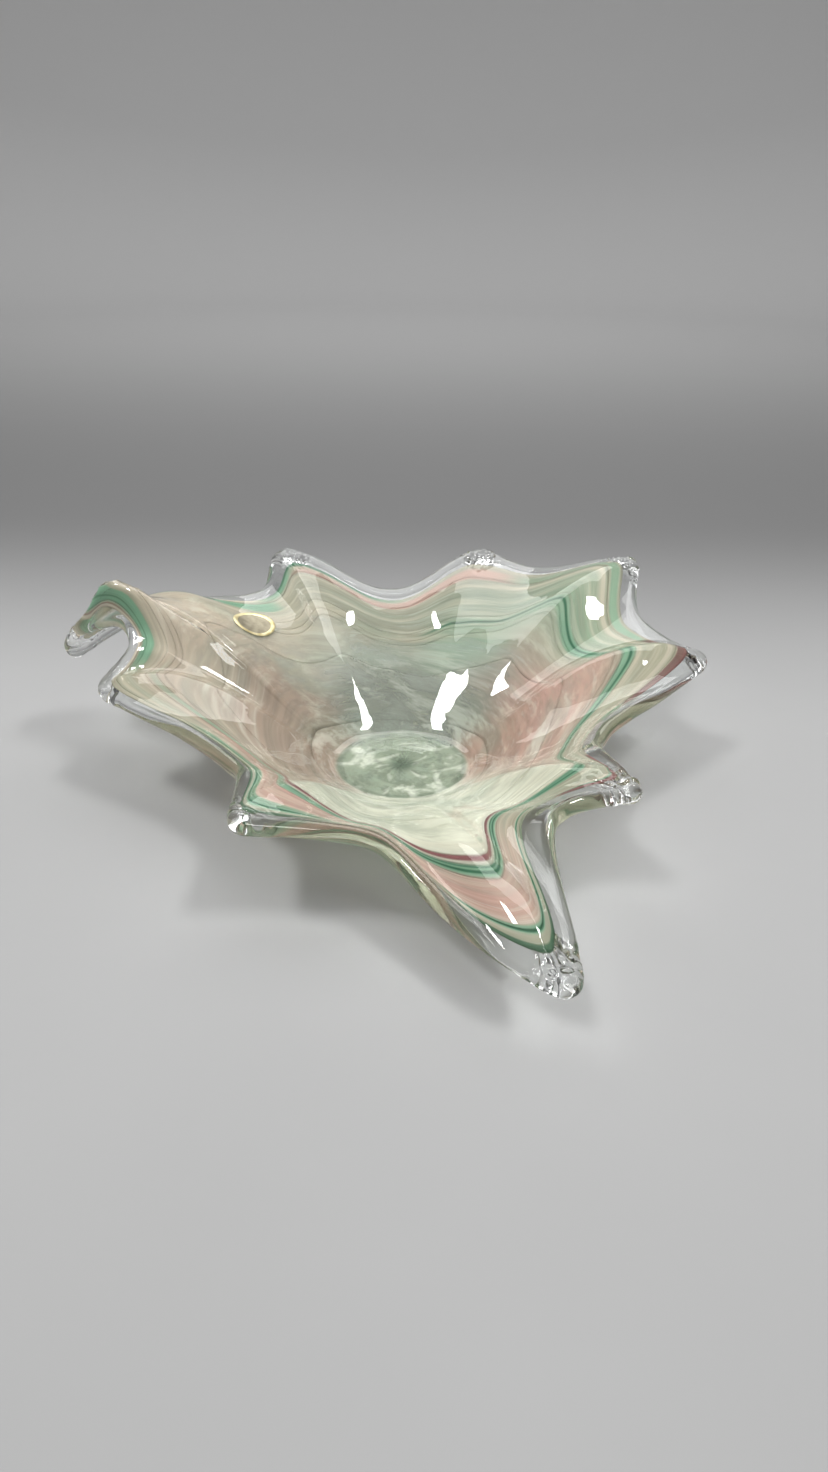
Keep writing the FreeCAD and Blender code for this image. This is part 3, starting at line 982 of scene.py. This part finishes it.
def floor_colour(flow):
    """The floor inside the foot's ring: pale green marbled with white, darker at the very middle."""
    marbled = mottle(flow.tree, flow.place, 48.0, 4.0, distortion=1.6)
    colour = flow.over(FLOOR_GREEN, WHITE, flow.above(marbled, 0.50, 0.62), 0.8)
    colour = flow.over(colour, SAGE, flow.below(marbled, 0.36, 0.46), 0.6)
    colour = flow.over(colour, FLOOR_DARK, flow.below(flow.radius, *FLOOR_SPOT), 0.75)
    ring = (flow.above(flow.radius, *FLOOR_RING_INNER), flow.below(flow.radius, *FLOOR_RING_OUTER))
    return flow.over(colour, FLOOR_DARK, *ring, 0.30)


def swirl_colour(flow, start, end):
    """The colour of one trail: what all trails share, then each wash and line that reaches the trail."""
    def reached(patches):
        return [p for p in patches if p.start < end + PATCH_SLACK and p.end > start - PATCH_SLACK]

    colour = flow.over(PINK_BEIGE, GREY_BEIGE, flow.above(flow.share, 0.50, 0.70))
    for wash in reached(WASHES):
        colour = flow.painted(colour, wash)
    outer = flow.above(flow.share, 0.45, 0.70)
    colour = flow.over(colour, CREAM, flow.above(flow.bands, 0.44, 0.66), outer, 0.46)
    colour = flow.over(colour, SAGE, flow.above(flow.broad, 0.48, 0.64), 0.36)
    colour = flow.over(colour, WHITE, flow.above(flow.wisps, 0.52, 0.68), opposite(flow.tree, outer), 0.45)
    colour = flow.over(colour, WHITE, flow.above(flow.brushed, 0.54, 0.66), 0.30)
    colour = flow.over(colour, GREY_BEIGE, flow.below(flow.brushed, 0.34, 0.44), 0.30)
    for line in reached(LINES):
        colour = flow.painted(colour, line)
    if start == 0:
        colour = flow.over(colour, floor_colour(flow), flow.below(flow.radius, *FLOOR_BORDER))
    return flow.over(colour, OUTSIDE_MILK, flow.back, flow.above(flow.share, 0.3, 0.5), BACK_MILK)


# How opaque a trail is where its streaks are thin and where they are thick
TrailLook = namedtuple("TrailLook", "material thin thick")
TRAIL_LOOKS = {
    "floor_swirl": TrailLook("milky_green_swirl", 0.45, 0.90),
    "lower_white_band": TrailLook("milky_white_swirl", 0.50, 0.92),
    "pink_band": TrailLook("pink_swirl", 0.60, 0.95),
    "cranberry_trail": TrailLook("cranberry_streak", 0.75, 0.97),
    "inner_green_trail": TrailLook("dark_green_streak", 0.80, 0.97),
    "rose_band": TrailLook("rose_swirl", 0.75, 0.97),
    "edge_green_trail": TrailLook("mint_streak", 0.80, 0.97),
}


def swirl_material(look, start, end):
    """Milky coloured glass drawn into streaks, thinner and clearer on the far side of the bowl."""
    made = new_material(look.material)
    tree = made.node_tree
    flow = Flow(tree)
    colour = swirl_colour(flow, start, end)
    thick = maths(tree, "MAXIMUM", flow.above(flow.wisps, 0.36, 0.62), flow.above(flow.bands, 0.40, 0.64))
    opacity = node(tree, "MapRange", {"Value": thick, "To Min": look.thin, "To Max": look.thick})
    clearer = product(tree, flow.facing(90, 25, 65), flow.below(flow.share, 0.5, 0.9), 0.40)
    opacity = maths(tree, "MULTIPLY", opacity.outputs["Result"], opposite(tree, clearer))
    pigment = node(tree, "BsdfPrincipled", {
        "Base Color": colour, "Roughness": 0.6, "Specular IOR Level": 0.1,
    })
    glow = node(tree, "BsdfTranslucent", {"Color": colour})
    milky = mix_shader(tree, GLOW_SHARE, pigment, glow)
    through = node(tree, "BsdfTransparent", {"Color": THIN_TINT})
    surface = mix_shader(tree, opacity, through, milky)
    node(tree, "OutputMaterial", {"Surface": surface.outputs[0]})
    return made


def foil_material():
    """Gold-lacquered foil: a bright worn border and a duller blank field with a fine grain."""
    made = new_material("gold_foil")
    tree = made.node_tree
    place = object_place(tree)
    grain = mottle(tree, place, 1800.0, 3.0)
    wear = mottle(tree, place, 300.0, 4.0)
    border = node(tree, "Attribute", attribute_name="border").outputs["Fac"]
    field = ramp(tree, wear, [(0.35, colour_of(140, 132, 112)), (0.65, colour_of(168, 160, 138))])
    edge = ramp(tree, wear, [(0.35, colour_of(222, 206, 150)), (0.65, colour_of(246, 234, 190))])
    foil = node(tree, "BsdfPrincipled", {
        "Base Color": mix_colour(tree, border, field, edge),
        "Roughness": grey_ramp(tree, wear, (0.3, 0.28), (0.8, 0.5)),
        "Metallic": 0.55,
        "Normal": bumped(tree, grain, 0.5, 0.06 * MM),
    })
    node(tree, "OutputMaterial", {"Surface": foil.outputs[0]})
    return made


def dress(piece, material):
    """Gives a piece its material, and rides it on the bowl's only body."""
    piece.data.materials.clear()
    piece.data.materials.append(material)
    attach(piece, "root")


# The studio

STAGE_RADIUS = 2.4
STAGE_BEND = 0.6              # radius of the curve from floor to wall
STAGE_HEIGHT = 2.0
STAGE_COLUMNS = 96
STAGE_DROP = 0.1 * MM         # keeps the floor clear of the foot's ground face
# Painted shade: the paper fades to grey behind the bowl, then lightens again up to the wall
PALE_UNTIL = 0.05             # how far behind the bowl's middle the paper is at its palest
GREY_AT = 0.45                # where it has faded to grey, before it lightens up to the wall
FLOOR_PAPER = (0.35, 0.35, 0.35, 1)
FLOOR_PAPER_LIGHT = (0.38, 0.38, 0.38, 1)
SHADED_GREY_PAPER = (0.15, 0.15, 0.15, 1)
WALL_PAPER = (0.80, 0.80, 0.80, 1)
AIR_STRENGTH = 0.95
EXPOSURE = -0.75
SOFT_LIGHTS = (               # name, place, width and height, watts
    ("left_softbox", (-0.55, 0.02, 1.10), (0.30, 0.16), 10),
    ("right_softbox", (0.55, 0.02, 1.10), (0.30, 0.16), 10),
    ("front_fill", (0.0, -1.6, 1.3), (0.9, 0.4), 17),
    ("back_light", (0.0, 1.0, 1.3), (1.7, 0.9), 20),
)


def floor_and_backdrop():
    """A round pale floor that curves up into a plain wall, with painted shade behind the bowl: a soft grey
    fade in the paper.
    """
    flat = STAGE_RADIUS - STAGE_BEND
    bend = [
        (flat + STAGE_BEND * math.sin(angle), STAGE_BEND * (1 - math.cos(angle)))
        for angle in np.linspace(0, math.pi / 2, 13)
    ]
    profile = [(flat / 2, 0.0)] + bend + [(STAGE_RADIUS, STAGE_HEIGHT)]
    rows = rows_round_axis(profile, STAGE_COLUMNS) - (0, 0, STAGE_DROP)
    stage = spun_body("floor_and_backdrop", rows, (0, 0, -STAGE_DROP))
    made = new_material("pale_stage")
    tree = made.node_tree
    place = object_place(tree)
    pale = ramp(tree, mottle(tree, place, 3.0, 5.0), [(0.3, FLOOR_PAPER), (0.7, FLOOR_PAPER_LIGHT)])
    behind = node(tree, "SeparateXYZ", {0: place}).outputs["Y"]
    # The painted shade behind the bowl, easing back to the pale wall
    faded = mix_colour(tree, eased(tree, behind, PALE_UNTIL, GREY_AT), pale, SHADED_GREY_PAPER)
    colour = mix_colour(tree, eased(tree, behind, GREY_AT, STAGE_RADIUS), faded, WALL_PAPER)
    paper = node(tree, "BsdfPrincipled", {"Base Color": colour, "Roughness": 0.75})
    node(tree, "OutputMaterial", {"Surface": paper.outputs[0]})
    stage.data.materials.append(made)
    stage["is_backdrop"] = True


def soft_light(name, place, size, watts, target):
    """A rectangular lamp that faces the target."""
    lamp = bpy.data.lights.new(name, "AREA")
    lamp.shape = "RECTANGLE"
    lamp.size, lamp.size_y = size
    lamp.energy = watts
    holder = add_to_scene(name, lamp)
    holder.location = place
    holder.rotation_euler = (Vector(target) - Vector(place)).to_track_quat("-Z", "Y").to_euler()


def studio_air():
    """Soft light from all round, dim at the horizon so that the glass's edges show."""
    world = bpy.data.worlds.new("studio_air")
    world.use_nodes = True
    tree = world.node_tree
    up = node(tree, "SeparateXYZ", {0: node(tree, "TexCoord").outputs["Generated"]}).outputs["Z"]
    shade = grey_ramp(tree, up, (0.0, 0.05), (0.35, 0.20), (0.9, 0.80))
    tree.links.new(shade, tree.nodes["Background"].inputs["Color"])
    tree.nodes["Background"].inputs["Strength"].default_value = AIR_STRENGTH
    bpy.context.scene.world = world


def plain_picture():
    """Colours shown as they are, without a film look, a little darker."""
    bpy.context.scene.view_settings.view_transform = "Standard"
    bpy.context.scene.view_settings.exposure = EXPOSURE


def studio():
    """The stage, the air and the lights, which face the bowl's middle."""
    floor_and_backdrop()
    studio_air()
    plain_picture()
    middle = (0, 0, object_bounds()[1].z / 2)
    for name, place, size, watts in SOFT_LIGHTS:
        soft_light(name, place, size, watts, middle)


CAMERA_PLACE = (0.006, -0.488, 0.290)
CAMERA_TILT = math.radians(61.5)      # up from looking straight down
CAMERA_ROLL = math.radians(0.8)
CAMERA_LENS = 26.9            # mm
CAMERA_SENSOR = 36            # mm
CAMERA_NEAR = 10 * MM


def camera():
    """A camera that stands close in front of the bowl and looks down into it."""
    lens = bpy.data.cameras.new("camera")
    lens.lens = CAMERA_LENS
    lens.sensor_width = CAMERA_SENSOR
    lens.clip_start = CAMERA_NEAR
    holder = add_to_scene("camera", lens)
    holder.location = CAMERA_PLACE
    turned = Matrix.Rotation(CAMERA_TILT, 3, "X") @ Matrix.Rotation(CAMERA_ROLL, 3, "Z")
    holder.rotation_euler = turned.to_euler()
    bpy.context.scene.camera = holder


def coloured_trails():
    """The coloured trails inside the glass, each in its own swirl."""
    sheet = Sheet(make_turns(SHEET_COLUMNS))
    for name, start, end in TRAIL_SPANS:
        dress(coloured_trail(name, start, end, sheet), swirl_material(TRAIL_LOOKS[name], start, end))


body = clear_glass_body()
dress(body, clear_glass_material("clear_glass", *BODY_TINTS))
dress(foot_disc(), clear_glass_material("foot_glass", *FOOT_TINTS, haze=FOOT_HAZE))
dress(foil_label(body), foil_material())
coloured_trails()
studio()
camera()
